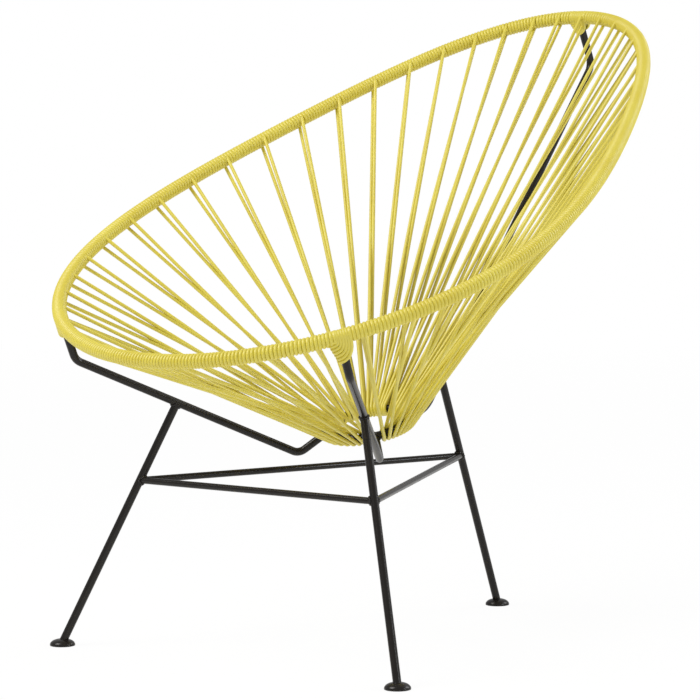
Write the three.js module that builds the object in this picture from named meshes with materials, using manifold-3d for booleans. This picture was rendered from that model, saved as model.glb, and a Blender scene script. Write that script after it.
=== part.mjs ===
// Egg-shaped cord lounge chair: a bent steel hoop and a small seat ring, joined by three bent arms,
// three legs and three stretchers, with one elastic cord wound round the hoop and strung to the ring.
// Millimetres, +Z up, the floor at Z = 0, the sitter looking along -Y, so +X is the sitter's left.
import * as THREE from 'three';
import { mergeVertices } from 'three/addons/utils/BufferGeometryUtils.js';
import Module from 'manifold-3d';

const wasm = await Module();
wasm.setup();

// Steel and cord sections
const hoopRodRadius = 5;
const ringRodRadius = 5.5;
const armRadius = 5.5;
const legRadius = 5.5;
const stretcherRadius = 4.5;
const cordRadius = 2.5;
const clearance = 0.3;

// Hoop: its front and back ends, its width, and the harmonics that make it narrower at the head
const hoopFrontY = -499.7;
const hoopFrontZ = 410;
const hoopBackY = 476.7;
const hoopBackZ = 852;
const hoopHalfWidth = 352.4;
const hoopDip = 8.8;
const hoopEndShare = 0.0233;
const hoopWidthShares = [1, -0.1267, 0.0288, 0.014];

// Seat ring
const ringY = -49;
const ringZ = 291.5;
const ringRadius = 58.2;
const ringTilt = THREE.MathUtils.degToRad(15.8);

// Front left arm, mirrored for the right: its upper bend from its place on the hoop, its lower bend
// from the ring's centre
const frontHoopTurnShare = 0.4122;
const frontBendInward = 1.6;
const frontBendBack = 22.9;
const frontBendDrop = 52.3;
const frontLowOut = 69.3;
const frontLowForward = 66.3;
const frontLowDrop = 39.5;
const frontFootX = 282;
const frontFootY = -366.7;

// Rear arm and leg, in the plane of symmetry
const rearBendBack = 35.8;
const rearBendDrop = 70.5;
const rearLowBack = 127;
const rearLowRise = 1.5;
const rearFootY = 262.3;

const upperBendRadius = 20;
const frontLowBendRadius = 16;
const rearLowBendRadius = 48;
const weldInsetShare = 0.6;
const frontLegShare = 0.5526;
const rearLegShare = 0.1038;
const frontStretcherShare = 0.6776;
const rearStretcherShare = 0.6552;

// Feet
const footRadius = 17.2;
const footHeight = 9;
const footEdgeHeight = 2;
const footFloor = 4;
const footDomeShares = [[0.86, 0.62], [0.6, 0.88]];

// Cord
const hairpinCount = 48;
const hairpinDriftAngle = THREE.MathUtils.degToRad(2.02);
const hairpinDriftPhase = THREE.MathUtils.degToRad(42.8);
const hairpinLeadAngle = THREE.MathUtils.degToRad(0.37);
const hairpinRimGap = 0.8;
const rootInset = 0.9;
const hairpinArmGap = 1.1;
const hairpinsPerBay = [19, 10, 19];
const ribsPerHairpin = 3;
const grooveDepth = 1.6;
const boreStepsPerHairpin = 2;
const leftGussetLength = 32;
const rightGussetLength = 17;
const rearGussetLength = 24;
const gussetSideWall = 9.5;
const gussetTipWall = 1.8;

// Facets
const rodSides = 8;
const cordSides = 5;
const footSides = 20;
const ringSteps = 32;
const bendSteps = 4;
const loopSteps = 4;
const gussetSides = 12;
const gapSamples = 40;
const fullTurn = 2 * Math.PI;

const steel = { color: 0x1c1b1b, roughness: 0.42, metalness: 0.35 };
const cordColour = { color: 0xd8c54e, roughness: 0.38, metalness: 0 };

// Curves of the hoop and the ring

const hoopMiddle = new THREE.Vector3(0, (hoopFrontY + hoopBackY) / 2, (hoopFrontZ + hoopBackZ) / 2);
const hoopHalf = new THREE.Vector3(0, (hoopBackY - hoopFrontY) / 2, (hoopBackZ - hoopFrontZ) / 2);
const hoopNormal = new THREE.Vector3(0, -hoopHalf.z, hoopHalf.y).normalize();

// Point of the hoop's centreline: angle 0 is the head, half a turn the front, with +X between them
function hoopPoint(angle) {
  const along = (Math.cos(angle) + hoopEndShare * Math.cos(3 * angle)) / (1 + hoopEndShare);
  const across = hoopWidthShares.reduce((sum, share, i) => sum + share * Math.sin((i + 1) * angle), 0);
  const point = hoopMiddle.clone().addScaledVector(hoopHalf, along);
  point.addScaledVector(hoopNormal, -hoopDip * (1 - along * along));
  point.x = hoopHalfWidth * across;
  return point;
}

function hoopFrame(angle) {
  const step = 1e-3;
  const tangent = hoopPoint(angle + step).sub(hoopPoint(angle - step)).normalize();
  const inward = new THREE.Vector3().crossVectors(tangent, hoopNormal).normalize();
  const up = new THREE.Vector3().crossVectors(inward, tangent);
  return { point: hoopPoint(angle), tangent, inward, up };
}

const ringCentre = new THREE.Vector3(0, ringY, ringZ);
const ringBack = new THREE.Vector3(0, Math.cos(ringTilt), Math.sin(ringTilt));
const ringNormal = new THREE.Vector3(0, -Math.sin(ringTilt), Math.cos(ringTilt));

function ringOutward(angle) {
  const side = new THREE.Vector3(Math.sin(angle), 0, 0);
  return side.addScaledVector(ringBack, Math.cos(angle));
}

function ringPoint(angle) {
  return ringCentre.clone().addScaledVector(ringOutward(angle), ringRadius);
}

// Solids and meshes

function solidOf(positions, triangles) {
  const geometry = new THREE.BufferGeometry();
  geometry.setAttribute('position', new THREE.Float32BufferAttribute(positions, 3));
  geometry.setIndex(triangles);
  return solidFrom(geometry);
}

function signedVolume(vertices, index) {
  let volume = 0;
  const [a, b, c] = [new THREE.Vector3(), new THREE.Vector3(), new THREE.Vector3()];
  for (let i = 0; i < index.length; i += 3) {
    a.fromArray(vertices, 3 * index[i]);
    b.fromArray(vertices, 3 * index[i + 1]);
    c.fromArray(vertices, 3 * index[i + 2]);
    volume += a.dot(b.cross(c)) / 6;
  }
  return volume;
}

function solidFrom(geometry) {
  geometry.deleteAttribute('normal');
  geometry.deleteAttribute('uv');
  const merged = mergeVertices(geometry);
  const vertices = merged.attributes.position.array;
  const index = Uint32Array.from(merged.index.array);
  if (signedVolume(vertices, index) < 0) {
    index.reverse();
  }
  return new wasm.Manifold(new wasm.Mesh({ numProp: 3, vertProperties: vertices, triVerts: index }));
}

function meshOf(name, solid, look) {
  const { vertProperties, triVerts } = solid.getMesh();
  const geometry = new THREE.BufferGeometry();
  geometry.setAttribute('position', new THREE.BufferAttribute(Float32Array.from(vertProperties), 3));
  geometry.setIndex(new THREE.BufferAttribute(Uint32Array.from(triVerts), 1));
  geometry.computeVertexNormals();
  const mesh = new THREE.Mesh(geometry, new THREE.MeshStandardMaterial(look));
  mesh.name = name;
  return mesh;
}

// Skin of quads between rings of points, each ring a flat list of Vector3
function skin(rings, closed) {
  const sides = rings[0].length;
  const positions = rings.flat().flatMap((p) => [p.x, p.y, p.z]);
  const triangles = [];
  const last = closed ? rings.length : rings.length - 1;
  for (let r = 0; r < last; r++) {
    const here = r * sides;
    const next = ((r + 1) % rings.length) * sides;
    for (let s = 0; s < sides; s++) {
      const t = (s + 1) % sides;
      triangles.push(here + s, next + s, next + t, here + s, next + t, here + t);
    }
  }
  if (!closed) {
    const end = (rings.length - 1) * sides;
    for (let s = 1; s < sides - 1; s++) {
      triangles.push(0, s, s + 1, end, end + s + 1, end + s);
    }
  }
  return solidOf(positions, triangles);
}

// Rod through a list of points, mitred where it turns
function rod(points, radius, sides = rodSides) {
  const first = points[1].clone().sub(points[0]).normalize();
  const helper = Math.abs(first.x) < 0.9 ? new THREE.Vector3(1, 0, 0) : new THREE.Vector3(0, 1, 0);
  let side = helper.addScaledVector(first, -helper.dot(first)).normalize();
  const rings = points.map((point, i) => {
    const before = i > 0 ? point.clone().sub(points[i - 1]).normalize() : first.clone();
    const after = i < points.length - 1 ? points[i + 1].clone().sub(point).normalize() : before.clone();
    const up = new THREE.Vector3().crossVectors(before, side);
    const mitre = before.clone().add(after).normalize();
    const ring = [];
    for (let s = 0; s < sides; s++) {
      const angle = fullTurn * (s + 0.5) / sides;
      const spoke = side.clone().multiplyScalar(Math.cos(angle) * radius);
      spoke.addScaledVector(up, Math.sin(angle) * radius);
      spoke.addScaledVector(before, -spoke.dot(mitre) / before.dot(mitre));
      ring.push(point.clone().add(spoke));
    }
    side = side.addScaledVector(after, -side.dot(after)).normalize();
    return ring;
  });
  return skin(rings, false);
}

// Straight runs between corners, with an arc of the given radius at each inner corner
function bentPath(corners, radii, stepsPerBend) {
  const path = [corners[0]];
  for (let i = 1; i < corners.length - 1; i++) {
    const into = corners[i].clone().sub(corners[i - 1]).normalize();
    const out = corners[i + 1].clone().sub(corners[i]).normalize();
    const bend = into.angleTo(out);
    const inward = out.clone().sub(into).normalize();
    const centre = corners[i].clone().addScaledVector(inward, radii[i - 1] / Math.cos(bend / 2));
    for (let s = 0; s <= stepsPerBend; s++) {
      const angle = bend * (s / stepsPerBend - 0.5);
      const along = into.clone().add(out).normalize();
      const arm = inward.clone().multiplyScalar(-Math.cos(angle)).addScaledVector(along, Math.sin(angle));
      path.push(centre.clone().addScaledVector(arm, radii[i - 1]));
    }
  }
  path.push(corners[corners.length - 1]);
  return path;
}

// Steel frame

// The front arms run straight in towards the ring's centre
const frontRingAngle = Math.atan2(frontLowOut, -frontLowForward / Math.cos(ringTilt));

// An arm's corners run from the hoop to the ring
function frontSupport(name, side, gussetLength) {
  const hoopAngle = fullTurn * (side > 0 ? frontHoopTurnShare : 1 - frontHoopTurnShare);
  const bend = new THREE.Vector3(-side * frontBendInward, frontBendBack, -frontBendDrop);
  const low = new THREE.Vector3(side * frontLowOut, -frontLowForward, -frontLowDrop);
  const corners = [
    hoopPoint(hoopAngle),
    hoopPoint(hoopAngle).add(bend),
    ringCentre.clone().add(low),
    ringPoint(side * frontRingAngle),
  ];
  const foot = new THREE.Vector3(side * frontFootX, frontFootY, footFloor);
  return {
    name, hoopAngle, corners, foot, gussetLength,
    bendRadii: [upperBendRadius, frontLowBendRadius],
    legShare: frontLegShare, barShare: frontStretcherShare,
  };
}

function rearSupport(name) {
  const corners = [
    hoopPoint(0),
    hoopPoint(0).add(new THREE.Vector3(0, rearBendBack, -rearBendDrop)),
    ringCentre.clone().add(new THREE.Vector3(0, rearLowBack, rearLowRise)),
    ringPoint(0),
  ];
  const foot = new THREE.Vector3(0, rearFootY, footFloor);
  return {
    name, hoopAngle: 0, corners, foot, gussetLength: rearGussetLength,
    bendRadii: [upperBendRadius, rearLowBendRadius],
    legShare: rearLegShare, barShare: rearStretcherShare,
  };
}

const supports = [
  frontSupport('front_left', 1, leftGussetLength),
  frontSupport('front_right', -1, rightGussetLength),
  rearSupport('rear'),
];

// A rod stops just short of the middles of the rods that it is welded to
function shortened(points, start, end) {
  const first = points[0].clone().add(points[1].clone().sub(points[0]).setLength(start));
  const [before, last] = points.slice(-2);
  return [first, ...points.slice(1, -1), last.clone().add(before.clone().sub(last).setLength(end))];
}

for (const support of supports) {
  const reach = bentPath(support.corners, support.bendRadii, bendSteps);
  support.path = shortened(reach, hoopRodRadius * weldInsetShare, ringRodRadius * weldInsetShare);
  const legTop = support.corners[2].clone().lerp(support.corners[1], support.legShare);
  support.legEnds = [legTop, support.foot];
  support.barEnd = support.foot.clone().lerp(legTop, support.barShare);
}

function hoopRod(radius) {
  const rings = [];
  for (let i = 0; i < hairpinCount * boreStepsPerHairpin; i++) {
    rings.push(sectionRing(hairpinAngle(i / boreStepsPerHairpin), radius));
  }
  return skin(rings, true);
}

// Radius of a facetted bore that clears a facetted rod by the clearance
function boreRadius(rodRadius) {
  return rodRadius + clearance / Math.cos(Math.PI / rodSides);
}

function sectionRing(angle, radius) {
  const ring = [];
  for (let s = 0; s < rodSides; s++) {
    ring.push(sectionPoint(angle, fullTurn * s / rodSides, radius));
  }
  return ring;
}

function sectionPoint(angle, around, radius) {
  const { point, inward, up } = hoopFrame(angle);
  point.addScaledVector(inward, Math.cos(around) * radius);
  return point.addScaledVector(up, Math.sin(around) * radius);
}

function ringRod(radius) {
  const rings = [];
  for (let i = 0; i < ringSteps; i++) {
    const angle = fullTurn * i / ringSteps;
    const ring = [];
    for (let s = 0; s < rodSides; s++) {
      const around = fullTurn * (s + 0.5) / rodSides;
      const point = ringPoint(angle).addScaledVector(ringOutward(angle), Math.cos(around) * radius);
      ring.push(point.addScaledVector(ringNormal, Math.sin(around) * radius));
    }
    rings.push(ring);
  }
  return skin(rings, true);
}

// Cord

// Angle on the hoop of a hairpin: they lie a little closer together at the head and the front
function hairpinAngle(k) {
  const even = fullTurn * k / hairpinCount;
  return even - hairpinDriftAngle * Math.sin(2 * even - hairpinDriftPhase) + hairpinLeadAngle;
}

// Angle on the ring of each hairpin: they share the three bays between the arms evenly
const armRingAngles = [0, frontRingAngle, fullTurn - frontRingAngle, fullTurn];
const partingAngle = (armRadius + cordRadius + hairpinArmGap) / ringRadius;
const hairpinRingAngles = [];
hairpinsPerBay.forEach((count, bay) => {
  const start = armRingAngles[bay] + partingAngle;
  const end = armRingAngles[bay + 1] - partingAngle;
  for (let i = 0; i < count; i++) {
    hairpinRingAngles.push(start + (end - start) * i / (count - 1));
  }
});

const loopRadius = (ringRodRadius + cordRadius + clearance) / Math.cos(Math.PI / loopSteps / 2);
const rootRadius = hoopRodRadius + 3 * clearance + rootInset;
const wrapRadius = hoopRodRadius + 2 * cordRadius;

// Centreline of one hairpin: down from the hoop, round the ring's rod and back up beside itself
function hairpinPath(k) {
  const { point, tangent } = hoopFrame(hairpinAngle(k));
  const ringAngle = hairpinRingAngles[(k + hairpinCount) % hairpinCount];
  const hold = ringPoint(ringAngle);
  const toRim = point.clone().sub(hold).normalize();
  const ringSide = new THREE.Vector3().crossVectors(ringNormal, ringOutward(ringAngle));
  const away = toRim.clone().addScaledVector(ringSide, -toRim.dot(ringSide)).normalize();
  const over = new THREE.Vector3().crossVectors(away, ringSide);
  const slant = toRim.clone().cross(tangent).length();
  const root = point.clone().addScaledVector(toRim, -rootRadius / slant);
  const aside = cordRadius + hairpinRimGap / 2;
  const path = [root.clone().addScaledVector(tangent, aside)];
  for (let i = 0; i <= loopSteps; i++) {
    const turn = Math.PI * i / loopSteps;
    const loop = hold.clone().addScaledVector(over, Math.cos(turn) * loopRadius);
    path.push(loop.addScaledVector(away, -Math.sin(turn) * loopRadius));
  }
  path.push(root.clone().addScaledVector(tangent, -aside));
  return path;
}

// Helical ribbed sleeve on the hoop from one hairpin number to another, open along its bore
function sleeve(from, to) {
  const ribs = Math.round((to - from) * ribsPerHairpin);
  const length = hoopPoint(hairpinAngle(from)).distanceTo(hoopPoint(hairpinAngle(to)));
  const lead = 0.5 * cordRadius * (to - from) / length;
  const inset = 0.5 * clearance * (to - from) / length;
  const start = from + inset;
  const end = to - inset;
  const pitch = (end - start - 2 * lead) / ribs;
  const rowCount = 2 * ribs - 1;
  const rows = [];
  for (let r = 0; r < rowCount; r++) {
    const row = [];
    const radius = r % 2 === 0 ? wrapRadius : wrapRadius - grooveDepth;
    for (let s = 0; s <= rodSides; s++) {
      const k = start + lead + pitch * (r * rodSides / 2 + s) / rodSides;
      row.push(sectionPoint(hairpinAngle(k), fullTurn * (s % rodSides) / rodSides, radius));
    }
    rows.push(row);
  }
  const boreSteps = Math.round((to - from) * boreStepsPerHairpin);
  const bore = [];
  for (let i = 0; i <= boreSteps; i++) {
    const angle = hairpinAngle(start + (end - start) * i / boreSteps);
    bore.push(sectionRing(angle, boreRadius(hoopRodRadius)));
  }
  const startRim = sectionRing(hairpinAngle(start), wrapRadius - grooveDepth);
  const endRim = sectionRing(hairpinAngle(end), wrapRadius - grooveDepth);
  const positions = [];
  const triangles = [];
  const tri = (...corners) => corners.forEach((p) => {
    triangles.push(positions.length / 3);
    positions.push(p.x, p.y, p.z);
  });
  const quad = (a, b, c, d) => {
    tri(a, b, c);
    tri(a, c, d);
  };
  for (let s = 0; s < rodSides; s++) {
    const t = (s + 1) % rodSides;
    for (let r = 0; r < rowCount - 1; r++) {
      quad(rows[r][s], rows[r + 1][s], rows[r + 1][s + 1], rows[r][s + 1]);
    }
    quad(startRim[s], rows[0][s], rows[0][s + 1], startRim[t]);
    quad(rows[rowCount - 1][s], endRim[s], endRim[t], rows[rowCount - 1][s + 1]);
    quad(bore[0][s], startRim[s], startRim[t], bore[0][t]);
    quad(endRim[s], bore[boreSteps][s], bore[boreSteps][t], endRim[t]);
    for (let i = 0; i < boreSteps; i++) {
      quad(bore[i + 1][s], bore[i][s], bore[i][t], bore[i + 1][t]);
    }
  }
  tri(startRim[0], rows[1][0], rows[0][0]);
  tri(startRim[0], rows[0][rodSides], rows[1][0]);
  const groove = rows[rowCount - 2][rodSides];
  tri(endRim[0], rows[rowCount - 1][0], groove);
  tri(endRim[0], groove, rows[rowCount - 1][rodSides]);
  return solidOf(positions, triangles);
}

// Cord wound across an arm's end: a flared sock from the hoop down the arm
function gusset(support) {
  const [top, bend] = support.corners;
  const down = bend.clone().sub(top).normalize();
  const { tangent } = hoopFrame(support.hoopAngle);
  const across = new THREE.Vector3().crossVectors(tangent, down).normalize();
  const along = new THREE.Vector3().crossVectors(down, across).normalize();
  const tip = armRadius + gussetTipWall;
  const halfWidth = armRadius + gussetSideWall;
  const stations = [
    { at: 0, wide: halfWidth, deep: wrapRadius - grooveDepth },
    { at: wrapRadius, wide: halfWidth, deep: wrapRadius - grooveDepth },
    { at: support.gussetLength, wide: tip, deep: tip },
  ];
  const rings = stations.map(({ at, wide, deep }) => {
    const ring = [];
    for (let s = 0; s < gussetSides; s++) {
      const angle = fullTurn * s / gussetSides;
      const point = top.clone().addScaledVector(down, at).addScaledVector(along, Math.cos(angle) * wide);
      ring.push(point.addScaledVector(across, Math.sin(angle) * deep));
    }
    return ring;
  });
  return skin(rings, false);
}

// Number of the hairpin that each cord section starts with, chosen so that no section ends at an arm:
// the last hairpin counts as number -1
const sectionStarts = [
  -1, 1, 3, 5, 7, 9, 11, 13, 15, 17, 19, 21, 23, 25, 27, 28, 30, 32, 34, 36, 38, 40, 42, 44, 46,
];
const gussetCutter = hoopRod((hoopRodRadius + wrapRadius) / 2);

function cordSection(first, next) {
  let body = sleeve(first - 0.5, next - 0.5);
  const arms = supports.filter(({ hoopAngle }) => {
    const number = numberAt(hoopAngle);
    return number >= first - 0.5 && number < next - 0.5;
  });
  for (const support of arms) {
    body = body.add(gusset(support).subtract(gussetCutter));
  }
  for (let k = first; k < next; k++) {
    body = body.add(rod(hairpinPath(k), cordRadius, cordSides));
  }
  for (const support of arms) {
    body = body.subtract(rod(support.path, armRadius + clearance));
  }
  return body;
}

// Hairpin number, whole or between two, at an angle of the hoop
function numberAt(angle) {
  let [low, high] = [-1.5, hairpinCount - 1.5];
  while (high - low > 1e-6) {
    const middle = (low + high) / 2;
    if (hairpinAngle(middle) < angle) {
      low = middle;
    } else {
      high = middle;
    }
  }
  return low;
}

// Assembly

const chair = new THREE.Group();
const hoopCutter = hoopRod(boreRadius(hoopRodRadius));
const ringCutter = ringRod(boreRadius(ringRodRadius));

chair.add(meshOf('rim_hoop', hoopRod(hoopRodRadius), steel));
chair.add(meshOf('seat_ring', ringRod(ringRodRadius), steel));

const footShape = [
  [0, 0],
  [footRadius, 0],
  [footRadius, footEdgeHeight],
  ...footDomeShares.map(([across, up]) => [footRadius * across, footHeight * up]),
  [legRadius, footHeight],
  [0, footHeight],
].map(([r, z]) => new THREE.Vector2(r, z));

// Round foot, flat below, with a socket for the slanted end of its leg
function footOf({ foot, legEnds }) {
  const dome = new THREE.LatheGeometry(footShape, footSides);
  dome.rotateX(Math.PI / 2);
  dome.translate(foot.x, foot.y, 0);
  const below = foot.clone().add(foot.clone().sub(legEnds[0]).setLength(clearance));
  return solidFrom(dome).subtract(rod([legEnds[0], below], legRadius + clearance));
}

for (const support of supports) {
  const arm = rod(support.path, armRadius).subtract(hoopCutter).subtract(ringCutter);
  chair.add(meshOf(`${support.name}_arm`, arm, steel));
  const legLine = shortened(support.legEnds, armRadius * weldInsetShare, 0);
  const leg = rod(legLine, legRadius).subtract(rod(support.path, armRadius + clearance));
  chair.add(meshOf(`${support.name}_leg`, leg, steel));
  chair.add(meshOf(`${support.name}_foot`, footOf(support), steel));
}

const [left, right, rear] = supports;
const stretchers = [
  { name: 'front_stretcher', ends: [left, right] },
  { name: 'left_stretcher', ends: [left, rear] },
  { name: 'right_stretcher', ends: [right, rear] },
];
// A bar is cut by the legs that it joins and by the bars set before it
const barCutters = [];
for (const { name, ends } of stretchers) {
  const inset = legRadius * weldInsetShare;
  const line = shortened(ends.map(({ barEnd }) => barEnd), inset, inset);
  const legCutters = ends.map(({ legEnds }) => rod(legEnds, legRadius + clearance));
  let bar = rod(line, stretcherRadius);
  for (const cutter of [...legCutters, ...barCutters]) {
    bar = bar.subtract(cutter);
  }
  barCutters.push(rod(line, stretcherRadius + clearance));
  chair.add(meshOf(name, bar, steel));
}

sectionStarts.forEach((first, i) => {
  const next = sectionStarts[i + 1] ?? hairpinCount + sectionStarts[0];
  const name = `cord_section_${String(i + 1).padStart(2, '0')}`;
  chair.add(meshOf(name, cordSection(first, next), cordColour));
});

// Least gap between neighbouring hairpins, over points along each
function pointsAlong(path, perRun) {
  const points = [];
  for (let i = 1; i < path.length; i++) {
    for (let s = 0; s <= perRun; s++) {
      points.push(path[i - 1].clone().lerp(path[i], s / perRun));
    }
  }
  return points;
}

let leastGap = Infinity;
for (let k = 0; k < hairpinCount; k++) {
  const here = pointsAlong(hairpinPath(k), gapSamples);
  const next = pointsAlong(hairpinPath((k + 1) % hairpinCount), gapSamples);
  for (const a of here) {
    for (const b of next) {
      leastGap = Math.min(leastGap, a.distanceTo(b) - 2 * cordRadius);
    }
  }
}
console.log(`least gap between neighbouring hairpins: ${leastGap.toFixed(2)} mm`);

export default chair;
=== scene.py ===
import bpy
import math
from mathutils import Matrix, Vector


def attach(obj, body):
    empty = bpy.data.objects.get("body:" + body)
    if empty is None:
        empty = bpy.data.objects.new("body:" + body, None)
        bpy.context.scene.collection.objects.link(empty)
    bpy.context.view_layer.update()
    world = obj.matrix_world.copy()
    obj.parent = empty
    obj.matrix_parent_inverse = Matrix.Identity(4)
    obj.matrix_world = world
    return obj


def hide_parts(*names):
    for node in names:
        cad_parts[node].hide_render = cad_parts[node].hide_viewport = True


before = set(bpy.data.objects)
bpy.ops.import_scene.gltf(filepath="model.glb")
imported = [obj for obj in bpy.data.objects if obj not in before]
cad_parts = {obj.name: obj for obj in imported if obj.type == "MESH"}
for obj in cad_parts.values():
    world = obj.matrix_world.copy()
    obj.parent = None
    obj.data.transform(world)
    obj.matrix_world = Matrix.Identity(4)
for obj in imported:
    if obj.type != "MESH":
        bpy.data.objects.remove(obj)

scene = bpy.context.scene
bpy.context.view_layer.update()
scene.view_settings.view_transform = "Standard"


# camera, as the photograph was taken

cameraView = {
    "place": (2.771, -3.7495, 0.774),
    "yaw": 37.13,      # degrees to the left of the chair's front, seen from above
    "pitch": 4.71,
    "roll": -0.3,
    "lens": 173.9,     # mm
    "sensor": 36,      # mm
    "farthest": 60,
}


def addCamera(view):
    yaw, pitch, roll = (math.radians(view[key]) for key in ("yaw", "pitch", "roll"))
    right = Vector((math.cos(yaw), math.sin(yaw), 0))
    level = Vector((math.sin(yaw), -math.cos(yaw), 0))
    back = level * math.cos(pitch) + Vector((0, 0, math.sin(pitch)))
    up = back.cross(right)
    side = right * math.cos(roll) + up * math.sin(roll)
    top = up * math.cos(roll) - right * math.sin(roll)
    data = bpy.data.cameras.new("photoCamera")
    data.lens = view["lens"]
    data.sensor_width = view["sensor"]
    data.clip_end = view["farthest"]
    camera = bpy.data.objects.new("photoCamera", data)
    scene.collection.objects.link(camera)
    turned = Matrix((side, top, back)).transposed().to_4x4()
    camera.matrix_world = Matrix.Translation(view["place"]) @ turned
    scene.camera = camera


addCamera(cameraView)
print("camera placed")


# curves that the whole chair hangs on

hoopSizes = {
    "front": (-0.4997, 0.410),      # y, z of the front end
    "head": (0.4767, 0.852),        # y, z of the head end
    "halfWidth": 0.3524,
    "dip": 0.0088,
    "endShare": 0.0233,
    "widthShares": (1, -0.1267, 0.0288, 0.014),
    "tangentStep": 0.001,
}
ringSizes = {
    "centre": (0, -0.049, 0.2915),
    "radius": 0.0582,
    "tilt": 15.8,
    "rodRadius": 0.0055,
    "sides": 20,
    "steps": 96,
}

frontEnd = Vector((0, *hoopSizes["front"]))
headEnd = Vector((0, *hoopSizes["head"]))
hoopMiddle = (frontEnd + headEnd) / 2
hoopHalf = (headEnd - frontEnd) / 2
hoopNormal = Vector((0, -hoopHalf.z, hoopHalf.y)).normalized()
ringCentre = Vector(ringSizes["centre"])
ringTilt = math.radians(ringSizes["tilt"])
ringBack = Vector((0, math.cos(ringTilt), math.sin(ringTilt)))
ringNormal = Vector((0, -math.sin(ringTilt), math.cos(ringTilt)))


def hoopPoint(angle):      # 0 is the head, half a turn the front, the sitter's left between them
    end = hoopSizes["endShare"]
    along = (math.cos(angle) + end * math.cos(3 * angle)) / (1 + end)
    waves = enumerate(hoopSizes["widthShares"], 1)
    across = sum(share * math.sin(i * angle) for i, share in waves)
    point = hoopMiddle + hoopHalf * along - hoopNormal * hoopSizes["dip"] * (1 - along * along)
    point.x = hoopSizes["halfWidth"] * across
    return point


def hoopAxes(angle):
    step = hoopSizes["tangentStep"]
    tangent = (hoopPoint(angle + step) - hoopPoint(angle - step)).normalized()
    inward = tangent.cross(hoopNormal).normalized()
    return tangent, inward, inward.cross(tangent)


def aroundHoop(angle, turn, radius):
    tangent, inward, up = hoopAxes(angle)
    return hoopPoint(angle) + inward * math.cos(turn) * radius + up * math.sin(turn) * radius


def ringOutward(angle):
    return Vector((math.sin(angle), 0, 0)) + ringBack * math.cos(angle)


def ringPoint(angle):
    return ringCentre + ringOutward(angle) * ringSizes["radius"]


# length along the hoop from the head, and the angle back from a length
arcSteps = 2880
arcTable = [0.0]
for i in range(arcSteps):
    step = hoopPoint(2 * math.pi * (i + 1) / arcSteps) - hoopPoint(2 * math.pi * i / arcSteps)
    arcTable.append(arcTable[-1] + step.length)
hoopLength = arcTable[-1]


def lengthAt(angle):
    share = angle / (2 * math.pi)
    laps = math.floor(share)
    spot = (share - laps) * arcSteps
    i = min(int(spot), arcSteps - 1)
    return laps * hoopLength + arcTable[i] + (arcTable[i + 1] - arcTable[i]) * (spot - i)


def angleAt(length):
    laps = math.floor(length / hoopLength)
    rest = length - laps * hoopLength
    low, high = 0, arcSteps
    while high - low > 1:
        middle = (low + high) // 2
        if arcTable[middle] <= rest:
            low = middle
        else:
            high = middle
    part = (rest - arcTable[low]) / (arcTable[low + 1] - arcTable[low])
    return 2 * math.pi * (laps + (low + part) / arcSteps)


# small tools

def selectOnly(piece):
    if bpy.context.object and bpy.context.object.mode != "OBJECT":
        bpy.ops.object.mode_set(mode="OBJECT")
    bpy.ops.object.select_all(action="DESELECT")
    piece.select_set(True)
    bpy.context.view_layer.objects.active = piece


def tubes(name, runs, radius, sides):
    curve = bpy.data.curves.new(name, "CURVE")
    curve.dimensions = "3D"
    curve.bevel_depth = radius
    curve.bevel_resolution = (sides - 4) // 2
    curve.use_fill_caps = True
    for run in runs:
        points = run["points"]
        spline = curve.splines.new("POLY")
        spline.points.add(len(points) - 1)
        spline.points.foreach_set("co", [value for p in points for value in (*p, 1)])
        spline.points.foreach_set("radius", run.get("swell", [1.0] * len(points)))
        spline.use_cyclic_u = run.get("closed", False)
    piece = bpy.data.objects.new(name, curve)
    scene.collection.objects.link(piece)
    selectOnly(piece)
    bpy.ops.object.convert(target="MESH")
    return bpy.context.object


# a round rod, bent at each inner corner
def bentRod(name, corners, bendRadii, radius, sides, steps):
    along = (corners[1] - corners[0]).normalized()
    bpy.ops.object.select_all(action="DESELECT")
    bpy.ops.mesh.primitive_circle_add(
        vertices=sides, radius=radius, location=corners[0],
        rotation=along.to_track_quat("Z", "Y").to_euler())
    rod = bpy.context.object
    rod.name = name
    bpy.ops.object.transform_apply(location=True, rotation=True)
    bpy.ops.object.mode_set(mode="EDIT")
    bpy.ops.mesh.select_all(action="SELECT")
    place = corners[0]
    for before, corner, after, bendRadius in zip(corners, corners[1:], corners[2:], bendRadii):
        into = (corner - before).normalized()
        out = (after - corner).normalized()
        bend = into.angle(out)
        back = bendRadius * math.tan(bend / 2)
        stop = corner - into * back
        bpy.ops.mesh.extrude_edges_move(TRANSFORM_OT_translate={"value": stop - place})
        axis = into.cross(out).normalized()
        centre = stop + axis.cross(into) * bendRadius
        bpy.ops.mesh.spin(steps=steps, angle=-bend, center=centre, axis=axis)
        place = corner + out * back
    bpy.ops.mesh.extrude_edges_move(TRANSFORM_OT_translate={"value": corners[-1] - place})
    bpy.ops.mesh.select_all(action="SELECT")
    bpy.ops.mesh.remove_doubles(threshold=frameSizes["mergeGap"])
    bpy.ops.mesh.fill_holes(sides=0)
    bpy.ops.mesh.select_all(action="SELECT")
    bpy.ops.mesh.normals_make_consistent(inside=False)
    bpy.ops.object.mode_set(mode="OBJECT")
    bpy.ops.object.shade_smooth_by_angle(angle=math.radians(frameSizes["smoothUnder"]))
    return rod


# finishes

def newMaterial(name):
    material = bpy.data.materials.new(name)
    material.use_nodes = True
    nodes = material.node_tree.nodes
    return material, nodes, material.node_tree.links, nodes["Principled BSDF"]


def noiseOver(nodes, links, scale, detail):
    place = nodes.new("ShaderNodeTexCoord")
    noise = nodes.new("ShaderNodeTexNoise")
    noise.inputs["Scale"].default_value = scale
    noise.inputs["Detail"].default_value = detail
    links.new(place.outputs["Object"], noise.inputs["Vector"])
    return noise.outputs["Fac"]


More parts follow.
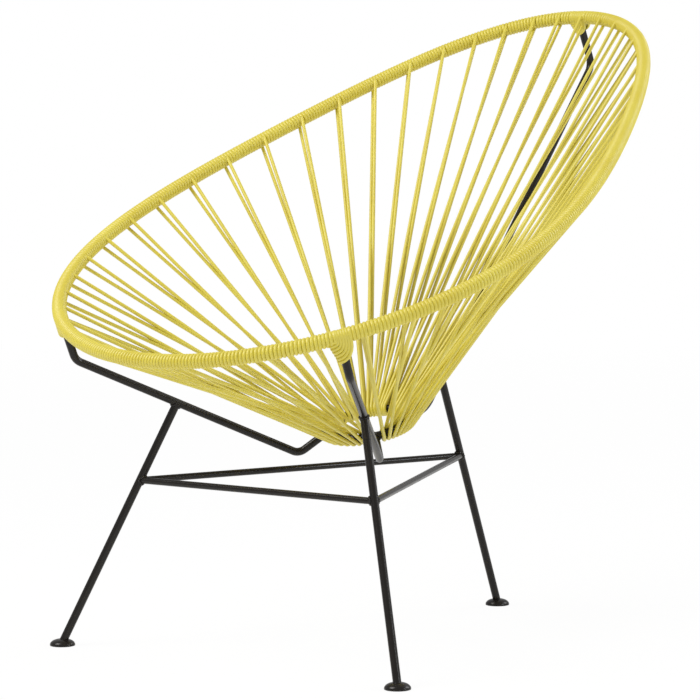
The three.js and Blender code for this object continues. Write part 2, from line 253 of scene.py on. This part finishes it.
def varyColour(nodes, links, shader, noise, look):
    tint = nodes.new("ShaderNodeMix")
    tint.data_type = "RGBA"
    tint.inputs["A"].default_value = (*look["deeper"], 1)
    tint.inputs["B"].default_value = (*look["paler"], 1)
    links.new(noise, tint.inputs["Factor"])
    links.new(tint.outputs["Result"], shader.inputs["Base Color"])


def varyRoughness(nodes, links, shader, noise, look):
    spread = nodes.new("ShaderNodeMapRange")
    spread.inputs["To Min"].default_value = look["roughness"][0]
    spread.inputs["To Max"].default_value = look["roughness"][1]
    links.new(noise, spread.inputs["Value"])
    links.new(spread.outputs["Result"], shader.inputs["Roughness"])


def powderCoat(look):
    material, nodes, links, shader = newMaterial("blackPowderCoat")
    shader.inputs["Specular IOR Level"].default_value = look["specular"]
    cloud = noiseOver(nodes, links, look["cloudScale"], look["cloudDetail"])
    varyColour(nodes, links, shader, cloud, look)
    varyRoughness(nodes, links, shader, cloud, look)
    peel = noiseOver(nodes, links, look["peelScale"], look["peelDetail"])
    bump = nodes.new("ShaderNodeBump")
    bump.inputs["Strength"].default_value = look["peelStrength"]
    bump.inputs["Distance"].default_value = look["peelHeight"]
    links.new(peel, bump.inputs["Height"])
    links.new(bump.outputs["Normal"], shader.inputs["Normal"])
    return material


def cordPlastic(look):
    material, nodes, links, shader = newMaterial("yellowCordPlastic")
    shader.inputs["Specular IOR Level"].default_value = look["specular"]
    cloud = noiseOver(nodes, links, look["cloudScale"], look["detail"])
    varyColour(nodes, links, shader, cloud, look)
    grain = noiseOver(nodes, links, look["grainScale"], look["detail"])
    varyRoughness(nodes, links, shader, grain, look)
    return material


steelFinish = powderCoat({
    "deeper": (0.009, 0.007, 0.0055),
    "paler": (0.013, 0.011, 0.0095),
    "specular": 0.27,
    "roughness": (0.18, 0.28),
    "cloudScale": 45,
    "cloudDetail": 3,
    "peelScale": 900,
    "peelDetail": 2,
    "peelStrength": 0.25,
    "peelHeight": 0.0002,
})
cordFinish = cordPlastic({
    "deeper": (0.615, 0.495, 0.025),
    "paler": (0.695, 0.61, 0.072),
    "specular": 0.9,
    "roughness": (0.4, 0.5),
    "cloudScale": 14,
    "grainScale": 40,
    "detail": 1,
})
print("finishes made")


# gives a piece its finish, hangs it under the root body and hides the CAD nodes that it stands in
# for
def finished(piece, material, slot, *nodes):
    piece.data.materials.clear()
    piece.data.materials.append(material)
    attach(piece, "root")
    if nodes:
        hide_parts(*nodes)
    return piece


# steel frame

frameSizes = {
    "rodRadius": 0.0055,
    "stretcherRadius": 0.0045,
    "frontBendRadii": (0.020, 0.016),
    "rearBendRadii": (0.020, 0.048),
    "bendSteps": 14,
    "sides": 24,
    "mergeGap": 1e-6,
    "smoothUnder": 40,       # degrees
    "frontTurnShare": 0.4122,
    "frontBend": (0.0016, 0.0229, 0.0523),   # towards the middle, back and down from the hoop
    "frontLow": (0.0693, 0.0663, 0.0395),    # out, forward and down from the ring's centre
    "frontFoot": (0.282, -0.3667),
    "frontLegShare": 0.5526,
    "frontStretcherShare": 0.6776,
    "rearBend": (0.0358, 0.0705),            # back and down from the hoop
    "rearLow": (0.127, 0.0015),              # back and up from the ring's centre
    "rearFoot": (0, 0.2623),
    "rearLegShare": 0.1038,
    "rearStretcherShare": 0.6552,
    "footFloor": 0.004,
}


def frontSupport(name, side):
    size = frameSizes
    turn = 2 * math.pi * (size["frontTurnShare"] if side > 0 else 1 - size["frontTurnShare"])
    inward, back, drop = size["frontBend"]
    out, forward, down = size["frontLow"]
    ringAngle = side * math.atan2(out, -forward / math.cos(ringTilt))
    corners = [
        hoopPoint(turn),
        hoopPoint(turn) + Vector((-side * inward, back, -drop)),
        ringCentre + Vector((side * out, -forward, -down)),
        ringPoint(ringAngle),
    ]
    foot = Vector((side * size["frontFoot"][0], size["frontFoot"][1], size["footFloor"]))
    shares = size["frontLegShare"], size["frontStretcherShare"]
    return makeSupport(name, turn, ringAngle, corners, size["frontBendRadii"], foot, shares)


def rearSupport(name):
    size = frameSizes
    back, drop = size["rearBend"]
    lowBack, rise = size["rearLow"]
    corners = [
        hoopPoint(0),
        hoopPoint(0) + Vector((0, back, -drop)),
        ringCentre + Vector((0, lowBack, rise)),
        ringPoint(0),
    ]
    foot = Vector((*size["rearFoot"], size["footFloor"]))
    shares = size["rearLegShare"], size["rearStretcherShare"]
    return makeSupport(name, 0.0, 0.0, corners, size["rearBendRadii"], foot, shares)


def makeSupport(name, turn, ringAngle, corners, bendRadii, foot, shares):
    legTop = corners[2].lerp(corners[1], shares[0])
    return {
        "name": name,
        "turn": turn,
        "ringAngle": ringAngle,
        "corners": corners,
        "bendRadii": bendRadii,
        "legTop": legTop,
        "foot": foot,
        "barEnd": foot.lerp(legTop, shares[1]),
    }


leftSupport = frontSupport("front_left", 1)
rightSupport = frontSupport("front_right", -1)
backSupport = rearSupport("rear")
supports = [leftSupport, rightSupport, backSupport]
stretchers = [
    ("front_stretcher", leftSupport, rightSupport),
    ("left_stretcher", leftSupport, backSupport),
    ("right_stretcher", rightSupport, backSupport),
]


def frameRod(name, node, corners, bendRadii, radius):
    rod = bentRod(name, corners, bendRadii, radius, frameSizes["sides"], frameSizes["bendSteps"])
    return finished(rod, steelFinish, "painted_steel", node)


for support in supports:
    name, radius = support["name"], frameSizes["rodRadius"]
    frameRod(name + "_armRod", name + "_arm", support["corners"], support["bendRadii"], radius)
    frameRod(name + "_legRod", name + "_leg", [support["legTop"], support["foot"]], (), radius)
for node, first, second in stretchers:
    ends = [first["barEnd"], second["barEnd"]]
    frameRod(node + "Rod", node, ends, (), frameSizes["stretcherRadius"])


def makeRing(size):
    bpy.ops.object.select_all(action="DESELECT")
    bpy.ops.mesh.primitive_torus_add(
        major_radius=size["radius"], minor_radius=size["rodRadius"], major_segments=size["steps"],
        minor_segments=size["sides"], location=size["centre"], rotation=(ringTilt, 0, 0))
    ring = bpy.context.object
    ring.name = "seat_ringRod"
    bpy.ops.object.transform_apply(location=True, rotation=True)
    bpy.ops.object.shade_smooth()
    return ring


finished(makeRing(ringSizes), steelFinish, "painted_steel", "seat_ring")
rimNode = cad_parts["rim_hoop"]
for materialSlot in rimNode.material_slots:
    materialSlot.material = steelFinish
print("steel frame made")


# weld beads, each along the line where one rod meets another

weldSizes = {
    "beadRadius": 0.0016,
    "stretcherBeadRadius": 0.0019,
    "lumps": 13,
    "lumpShare": 0.2,
    "waves": 5,              # a slower wave over the lumps
    "waveShare": 0.1,
    "wavePhase": 2.3,
    "ringPhase": 0.7,        # so that the welds at the ring differ from those of the legs
    "stand": 0.0003,
    "points": 78,
    "sides": 8,
}


def weldRun(place, along, radius, hostAlong, hostRadius, phase):
    size = weldSizes
    along = along.normalized()
    hostAlong = hostAlong.normalized()
    first = along.cross(hostAlong).normalized()
    second = along.cross(first)
    slant = math.sqrt(1 - along.dot(hostAlong) ** 2)
    reach = hostRadius + size["stand"]
    points = []
    swell = []
    for i in range(size["points"]):
        turn = 2 * math.pi * i / size["points"]
        spoke = (first * math.cos(turn) + second * math.sin(turn)) * (radius + size["stand"])
        outOfPlane = spoke.dot(first)
        depth = math.sqrt(max(0.0, reach * reach - outOfPlane * outOfPlane))
        inPlane = spoke.dot(second) * second.dot((along - hostAlong * along.dot(hostAlong)) / slant)
        rise = (depth - inPlane) / slant
        points.append(place + spoke + along * rise)
        lump = size["lumpShare"] * math.sin(size["lumps"] * turn + phase)
        wave = size["waveShare"] * math.sin(size["waves"] * turn + size["wavePhase"] * phase)
        swell.append(1 + lump + wave)
    return {"points": points, "swell": swell, "closed": True}


legBeads = []
barBeads = []
ringBeads = []
for i, support in enumerate(supports):
    low, upper = support["corners"][2], support["corners"][1]
    rod = frameSizes["rodRadius"]
    legLine = support["foot"] - support["legTop"]
    legBeads.append(weldRun(support["legTop"], legLine, rod, upper - low, rod, i))
    ringEnd = support["corners"][3]
    ringAlong = ringNormal.cross(ringOutward(support["ringAngle"]))
    ringRod, phase = ringSizes["rodRadius"], i + weldSizes["ringPhase"]
    ringBeads.append(weldRun(ringEnd, low - ringEnd, rod, ringAlong, ringRod, phase))
for i, (node, first, second) in enumerate(stretchers):
    for j, (here, there) in enumerate([(first, second), (second, first)]):
        barLine = there["barEnd"] - here["barEnd"]
        legLine = here["foot"] - here["legTop"]
        bar = frameSizes["stretcherRadius"]
        rod = frameSizes["rodRadius"]
        barBeads.append(weldRun(here["barEnd"], barLine, bar, legLine, rod, 2 * i + j))
for name, runs, radius in [
    ("legWelds", legBeads, weldSizes["beadRadius"]),
    ("ringWelds", ringBeads, weldSizes["beadRadius"]),
    ("stretcherWelds", barBeads, weldSizes["stretcherBeadRadius"]),
]:
    finished(tubes(name, runs, radius, weldSizes["sides"]), steelFinish, "painted_steel")
print("welds made")


# feet: low domes, flat below

footSizes = {
    "radius": 0.0172,
    "edgeHeight": 0.0022,
    "sides": 48,
    "steps": [            # in and up, ring by ring
        (0.0009, 0.0018), (0.0017, 0.0018), (0.0028, 0.0016), (0.0036, 0.0011), (0.0022, 0.0003),
    ],
    "topOver": 0.9,       # the top is the face that points up
    "edgeBevel": 0.0005,
    "bevelSteps": 2,
    "bevelOver": 50,      # degrees
    "smoothUnder": 35,
}


def makeFoot(support):
    size = footSizes
    bpy.ops.object.select_all(action="DESELECT")
    place = (support["foot"].x, support["foot"].y, size["edgeHeight"] / 2)
    bpy.ops.mesh.primitive_cylinder_add(
        vertices=size["sides"], radius=size["radius"], depth=size["edgeHeight"], location=place)
    foot = bpy.context.object
    foot.name = support["name"] + "_footDome"
    bpy.ops.object.transform_apply(location=True)
    bpy.ops.object.mode_set(mode="EDIT")
    bpy.ops.mesh.select_all(action="DESELECT")
    bpy.ops.object.mode_set(mode="OBJECT")
    for face in foot.data.polygons:
        face.select = face.normal.z > size["topOver"]
    bpy.ops.object.mode_set(mode="EDIT")
    bpy.ops.mesh.select_mode(type="FACE")
    for thickness, depth in size["steps"]:
        bpy.ops.mesh.inset(thickness=thickness, depth=depth)
    bpy.ops.object.mode_set(mode="OBJECT")
    bevel = foot.modifiers.new("edge", "BEVEL")
    bevel.width = size["edgeBevel"]
    bevel.segments = size["bevelSteps"]
    bevel.angle_limit = math.radians(size["bevelOver"])
    bpy.ops.object.modifier_apply(modifier="edge")
    bpy.ops.object.shade_smooth_by_angle(angle=math.radians(size["smoothUnder"]))
    return finished(foot, steelFinish, "painted_steel", support["name"] + "_foot")


for support in supports:
    makeFoot(support)
print("feet made")


# the cord: wound round the hoop, strung to the ring in pairs of strands

cordSizes = {
    "radius": 0.0025,
    "sides": 10,
    "turnPitch": 0.00491,
    "turnSteps": 18,
    "turnSwell": 1.1,             # the turns are pressed together on the rod
    "turnRadius": 0.00725,
    "pairs": 48,
    "driftAngle": 2.02,
    "driftPhase": 42.8,
    "leadAngle": 0.37,
    "pairApart": 0.00245,         # between the strands of a pair, along the hoop
    "ringApart": 0.0020,          # and along the ring
    "pairsPerBay": (20, 9, 19),
    "rearStart": 7.9,             # degrees on the ring from the rear arm to the first pair
    "leftStarts": (11.5, 8.5),    # from the left arm, behind it and before it
    "rightStart": 8.5,            # from the right arm, on both sides
    "firstSpacings": (0.95, 0.6, 0.5),      # of the left, front and right bay, over the mean
    "loopSteps": 10,
    "lieAngle": 50,               # how far a strand's end lies round the hoop
    "lieSteps": 4,
    "jitter": 0.00012,
    "jitterStep": 0.61,
    "jitterPhase": 1.7,
}
wrapSizes = {
    "back": 0.0130,               # where the turns across an arm begin and end, along the hoop
    "front": 0.0065,
    "margin": 0.002,
    "turns": 7,
    "lean": 0.0085,
    "lengths": {"front_left": 0.029, "front_right": 0.0155, "rear": 0.0225},
    "firstLength": 0.002,
    "bow": 0.8,
    "swell": 0.0006,
    "endSteps": 4,
    "sideSteps": 6,
}
woundRadius = cordSizes["turnRadius"]


def pairTurn(k):      # a little closer together at the head and the front
    even = 2 * math.pi * k / cordSizes["pairs"]
    angles = (cordSizes[key] for key in ("driftAngle", "driftPhase", "leadAngle"))
    drift, phase, lead = (math.radians(angle) for angle in angles)
    return even - drift * math.sin(2 * even - phase) + lead


def bayAngles(count, start, end, first):      # spacing grows or shrinks steadily along the bay
    angles = []
    for i in range(count):
        share = i / (count - 1)
        angles.append(start + (end - start) * share * (first + (1 - first) * share))
    return angles


def pairRingAngles():
    size = cordSizes
    left, front, right = size["pairsPerBay"]
    behind, before = (math.radians(gap) for gap in size["leftStarts"])
    rear, rightGap = math.radians(size["rearStart"]), math.radians(size["rightStart"])
    arm = leftSupport["ringAngle"]
    angles = bayAngles(left, rear, arm - behind, size["firstSpacings"][0])
    angles += bayAngles(front, arm + before, 2 * math.pi - arm - rightGap, size["firstSpacings"][1])
    fromRear = bayAngles(right, rear, arm - rightGap, size["firstSpacings"][2])
    return angles + [2 * math.pi - angle for angle in reversed(fromRear)]


ringAngles = pairRingAngles()


def tangentTurn(angle, target, side):      # where a straight strand leaves the winding
    tangent, inward, up = hoopAxes(angle)
    reach = target - hoopPoint(angle)
    flat = math.hypot(reach.dot(inward), reach.dot(up))
    heading = math.atan2(reach.dot(up), reach.dot(inward))
    return (heading + side * math.acos(woundRadius / flat)) % (2 * math.pi)


# one strand goes over the ring and the other under it, and each leaves the winding at a tangent
def strandPair(k):
    angle = ringAngles[k]
    hold = ringPoint(angle)
    loopRadius = ringSizes["rodRadius"] + cordSizes["radius"]
    toRim = hoopPoint(pairTurn(k)) - hold
    ringSide = ringNormal.cross(ringOutward(angle))
    away = (toRim - ringSide * toRim.dot(ringSide)).normalized()
    over = away.cross(ringSide)
    middle = lengthAt(pairTurn(k))
    leaveLength = middle - cordSizes["pairApart"] / 2
    arriveLength = middle + cordSizes["pairApart"] / 2
    aside = cordSizes["ringApart"] / 2 / ringSizes["radius"]
    leaveTurn = tangentTurn(angleAt(leaveLength), ringPoint(angle - aside) + over * loopRadius, -1)
    arriveTurn = tangentTurn(angleAt(arriveLength), ringPoint(angle + aside) - over * loopRadius, 1)
    points = []
    for i in range(cordSizes["loopSteps"] + 1):
        share = i / cordSizes["loopSteps"]
        turn = math.pi * share
        spot = ringPoint(angle + aside * (2 * share - 1))
        points.append(spot + (over * math.cos(turn) - away * math.sin(turn)) * loopRadius)
    return {
        "leaveLength": leaveLength,
        "leaveTurn": leaveTurn,
        "arriveLength": arriveLength,
        "arriveTurn": arriveTurn,
        "loop": points,
    }


pairs = [strandPair(k) for k in range(cordSizes["pairs"])]


# the web of each wrap lies towards the front, and to the sitter's right at the head
def wrapSide(support):
    return 1 if support is leftSupport else -1


def insideWrap(length):
    size = wrapSizes
    for support in supports:
        offset = length - lengthAt(support["turn"])
        offset = (offset + hoopLength / 2) % hoopLength - hoopLength / 2
        offset *= wrapSide(support)
        if size["margin"] - size["back"] < offset < size["front"] - size["margin"]:
            return True
    return False


def woundRuns(k):      # the turns from pair k to the next
    size = cordSizes
    here = pairs[k % size["pairs"]]
    there = pairs[(k + 1) % size["pairs"]]
    start = here["arriveLength"]
    end = there["leaveLength"] + (hoopLength if there["leaveLength"] < start else 0)
    turnGap = (there["leaveTurn"] - here["arriveTurn"]) / (2 * math.pi)
    whole = round((end - start) / size["turnPitch"] - turnGap)
    turns = whole + turnGap
    count = round(turns * size["turnSteps"])
    runs = [[]]
    for i in range(count + 1):
        share = i / count
        length = start + (end - start) * share
        if 0 < i < count:
            length += size["jitter"] * math.sin(size["jitterStep"] * i + size["jitterPhase"] * k)
        turn = here["arriveTurn"] + 2 * math.pi * turns * share
        if insideWrap(length):
            if runs[-1]:
                runs.append([])
            continue
        runs[-1].append(aroundHoop(angleAt(length), turn, woundRadius))
    return [run for run in runs if len(run) > 1]


def lieOnHoop(length, turn, way):      # the end of a strand, from where it meets the hoop
    size = cordSizes
    lie = math.radians(size["lieAngle"])
    rise = size["turnPitch"] * lie / (2 * math.pi)
    points = []
    for i in range(size["lieSteps"] + 1):
        on = way * i / size["lieSteps"]
        points.append(aroundHoop(angleAt(length + rise * on), turn + lie * on, woundRadius))
    return points


def pairRun(k):      # both strands of a pair and the loop between them
    pair = pairs[k % cordSizes["pairs"]]
    leaving = lieOnHoop(pair["leaveLength"], pair["leaveTurn"], -1)
    return leaving[::-1] + pair["loop"] + lieOnHoop(pair["arriveLength"], pair["arriveTurn"], 1)


# the half turn that shuts the winding behind a pair, on the hoop's inner side
def innerArc(k):
    pair = pairs[k % cordSizes["pairs"]]
    middle = angleAt((pair["leaveLength"] + pair["arriveLength"]) / 2)
    sweep = (pair["arriveTurn"] - pair["leaveTurn"]) % (2 * math.pi)
    steps = cordSizes["turnSteps"] // 2
    turns = [pair["leaveTurn"] + sweep * i / steps for i in range(steps + 1)]
    return [aroundHoop(middle, turn, woundRadius) for turn in turns]


quarters = [
    ("cordHeadLeft", -1, 11, range(1, 7)),
    ("cordFrontLeft", 11, 25, range(7, 14)),
    ("cordFrontRight", 25, 36, range(14, 20)),
    ("cordHeadRight", 36, 47, range(20, 26)),
]


def makeQuarter(name, first, last, sections):
    size = cordSizes
    runs = []
    for k in range(first, last):
        for run in woundRuns(k):
            runs.append({"points": run, "swell": [size["turnSwell"]] * len(run)})
        runs.append({"points": pairRun(k)})
        runs.append({"points": innerArc(k)})
    piece = tubes(name, runs, size["radius"], size["sides"])
    finished(piece, cordFinish, "cord", *(f"cord_section_{n:02d}" for n in sections))
    print(name, "made,", len(piece.data.polygons), "faces")


for quarter in quarters:
    makeQuarter(*quarter)


# one turn over the hoop and round the top of an arm, the first at share 0 and the last at 1
def wrapLoop(support, share):
    size = wrapSizes
    top, bend = support["corners"][:2]
    side = wrapSide(support)
    web = hoopAxes(support["turn"])[0] * side
    down = (bend - top).normalized()
    across = web.cross(down).normalized()
    offset = size["front"] + (-size["back"] - size["front"]) * share
    angle = angleAt(lengthAt(support["turn"]) + side * offset)
    start = hoopPoint(angle)
    tangent = hoopAxes(angle)[0]
    square = (down - tangent * down.dot(tangent)).normalized()
    longest = size["lengths"][support["name"]]
    reach = size["firstLength"] + (longest - size["firstLength"]) * share
    end = top + web * size["lean"] * (1 - share) + down * reach
    corner = start + square * reach * size["bow"]
    width = woundRadius + size["swell"] * share
    tip = (end - corner).normalized()
    quarterTurns = [math.pi / 2 * i / size["endSteps"] for i in range(size["endSteps"] + 1)]
    half = []      # place on the middle plane, and how far out from it
    for turn in quarterTurns:
        half.append((start - square * math.cos(turn) * woundRadius, math.sin(turn) * woundRadius))
    for i in range(1, size["sideSteps"]):
        s = i / size["sideSteps"]
        spot = start * (1 - s) ** 2 + corner * 2 * s * (1 - s) + end * s * s
        half.append((spot, woundRadius + (width - woundRadius) * s))
    for turn in quarterTurns:
        half.append((end + tip * math.sin(turn) * width, math.cos(turn) * width))
    points = [spot + across * out for spot, out in half]
    points += [spot - across * out for spot, out in half[-2:0:-1]]
    return {"points": points, "closed": True}


for support in supports:
    last = wrapSizes["turns"] - 1
    loops = [wrapLoop(support, i / last) for i in range(last + 1)]
    wrap = tubes(support["name"] + "_armWrap", loops, cordSizes["radius"], cordSizes["sides"])
    finished(wrap, cordFinish, "cord")
print("cord made")


# floor, light and surroundings

studio = {
    "floorSize": 40,
    "floorDrop": 0.0004,
    "floorColour": (0.9, 0.9, 0.9),
    "floorRoughness": 0.8,
    "floorGlow": 0.93,
    "fadeNear": 1.2,
    "fadeFar": 5.0,
    "skyStrength": 0.52,
    "lampAim": (0, 0, 0.45),
}
lamps = {
    "keyLamp": {
        "place": (-1.5, -2.8, 4.0), "power": 160, "size": 2.4, "colour": (1, 0.985, 0.96),
    },
    "sideLamp": {
        "place": (3.4, 0.6, 1.5), "power": 26, "size": 0.6, "colour": (0.92, 0.96, 1),
    },
    "backLamp": {
        "place": (2.2, 3.2, 2.8), "power": 70, "size": 2.2, "colour": (1, 1, 1),
    },
}


def addFloor(look):
    bpy.ops.object.select_all(action="DESELECT")
    bpy.ops.mesh.primitive_plane_add(size=look["floorSize"], location=(0, 0, -look["floorDrop"]))
    floor = bpy.context.object
    floor.name = "studioFloor"
    material, nodes, links, shader = newMaterial("paleFloor")
    shader.inputs["Base Color"].default_value = (*look["floorColour"], 1)
    shader.inputs["Roughness"].default_value = look["floorRoughness"]
    glow = nodes.new("ShaderNodeEmission")
    glow.inputs["Color"].default_value = (1, 1, 1, 1)
    rays = nodes.new("ShaderNodeLightPath")
    place = nodes.new("ShaderNodeTexCoord")
    distance = nodes.new("ShaderNodeVectorMath")
    distance.operation = "LENGTH"
    links.new(place.outputs["Object"], distance.inputs[0])
    fade = nodes.new("ShaderNodeMapRange")
    fade.inputs["From Min"].default_value = look["fadeNear"]
    fade.inputs["From Max"].default_value = look["fadeFar"]
    fade.inputs["To Min"].default_value = look["floorGlow"]
    links.new(distance.outputs["Value"], fade.inputs["Value"])
    seen = nodes.new("ShaderNodeMath")
    seen.operation = "MULTIPLY"
    links.new(fade.outputs["Result"], seen.inputs[1])
    links.new(rays.outputs["Is Camera Ray"], seen.inputs[0])
    mix = nodes.new("ShaderNodeMixShader")
    links.new(seen.outputs["Value"], mix.inputs["Fac"])
    links.new(shader.outputs["BSDF"], mix.inputs[1])
    links.new(glow.outputs["Emission"], mix.inputs[2])
    links.new(mix.outputs["Shader"], nodes["Material Output"].inputs["Surface"])
    floor.data.materials.append(material)


def addSky(look):
    world = bpy.data.worlds.new("studioSky")
    world.use_nodes = True
    scene.world = world
    nodes = world.node_tree.nodes
    links = world.node_tree.links
    sky = nodes["Background"]
    sky.inputs["Color"].default_value = (1, 1, 1, 1)
    rays = nodes.new("ShaderNodeLightPath")
    strength = nodes.new("ShaderNodeMapRange")
    strength.inputs["To Min"].default_value = look["skyStrength"]
    strength.inputs["To Max"].default_value = 1
    links.new(rays.outputs["Is Camera Ray"], strength.inputs["Value"])
    links.new(strength.outputs["Result"], sky.inputs["Strength"])


def addLamp(name, look, aim):
    data = bpy.data.lights.new(name, "AREA")
    data.energy = look["power"]
    data.size = look["size"]
    data.color = look["colour"]
    lamp = bpy.data.objects.new(name, data)
    scene.collection.objects.link(lamp)
    lamp.location = look["place"]
    heading = Vector(aim) - Vector(look["place"])
    lamp.rotation_euler = heading.to_track_quat("-Z", "Y").to_euler()


addFloor(studio)
addSky(studio)
for name, look in lamps.items():
    addLamp(name, look, studio["lampAim"])
print("studio made")
